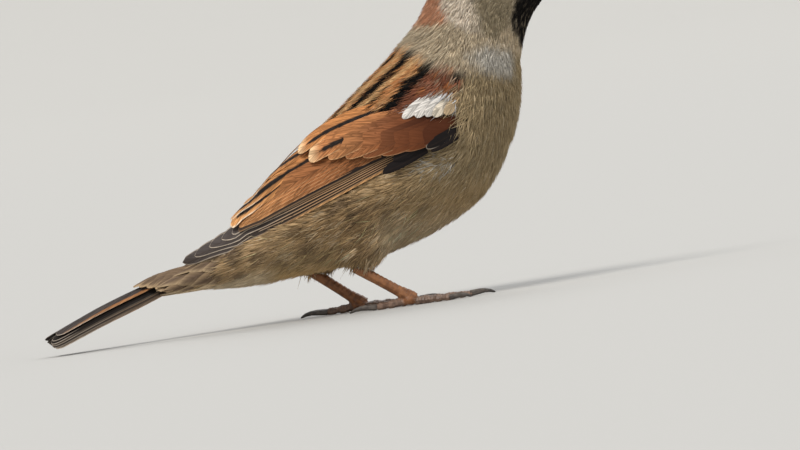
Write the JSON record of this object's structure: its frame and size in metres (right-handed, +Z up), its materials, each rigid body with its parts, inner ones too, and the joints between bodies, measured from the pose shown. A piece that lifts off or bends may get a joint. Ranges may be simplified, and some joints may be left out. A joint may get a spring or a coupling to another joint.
{
  "type": "house sparrow",
  "caption": "Adult male house sparrow, life size, a still model standing on a level floor with its wings folded and its tail tip resting on the floor.",
  "frame": {"origin": "on the floor, under the middle of the model's box", "axes": "+X the way the bird faces, from tail to bill; its right side is towards -Y; +Z up from the floor"},
  "size_m": [0.1522, 0.0418, 0.0919],
  "materials": {
    "crown_feathers": "soft grey and chestnut feathers",
    "neck_feathers": "soft pale grey feathers, black bib",
    "breast_feathers": "soft grey-beige feathers",
    "belly_feathers": "soft beige feathers with fine streaks, striped mantle",
    "rump_feathers": "soft grey-brown feathers",
    "wing_feathers": "chestnut and black vaned feathers with buff edges",
    "flight_feathers": "dark brown vaned feathers with thin buff edges",
    "tail_feathers": "dark grey-brown vaned feathers",
    "bill_horn": "dark satin horn",
    "eye": "wet, glossy, near black brown",
    "leg_scales": "pinkish brown scaled skin",
    "claw_horn": "dark grey satin horn"
  },
  "bodies": {
    "root": {"head": "crown_feathers", "neck": "neck_feathers", "breast": "breast_feathers", "trunk": "belly_feathers", "rump": "rump_feathers", "tail_coverts": "rump_feathers", "tail": "tail_feathers", "bill_upper": "bill_horn", "bill_lower": "bill_horn", "eye_right": "eye", "eye_left": "eye", "wing_right_coverts": "wing_feathers", "wing_left_coverts": "wing_feathers", "wing_right_secondaries": "wing_feathers", "wing_left_secondaries": "wing_feathers", "wing_right_primaries": "flight_feathers", "wing_left_primaries": "flight_feathers", "thigh_right": "belly_feathers", "thigh_left": "belly_feathers", "tarsus_right": "leg_scales", "tarsus_left": "leg_scales", "toe_right_1": "leg_scales", "toe_right_2": "leg_scales", "toe_right_3": "leg_scales", "toe_right_4": "leg_scales", "toe_left_1": "leg_scales", "toe_left_2": "leg_scales", "toe_left_3": "leg_scales", "toe_left_4": "leg_scales", "claw_right_1": "claw_horn", "claw_right_2": "claw_horn", "claw_right_3": "claw_horn", "claw_right_4": "claw_horn", "claw_left_1": "claw_horn", "claw_left_2": "claw_horn", "claw_left_3": "claw_horn", "claw_left_4": "claw_horn"}
  },
  "joints": []
}
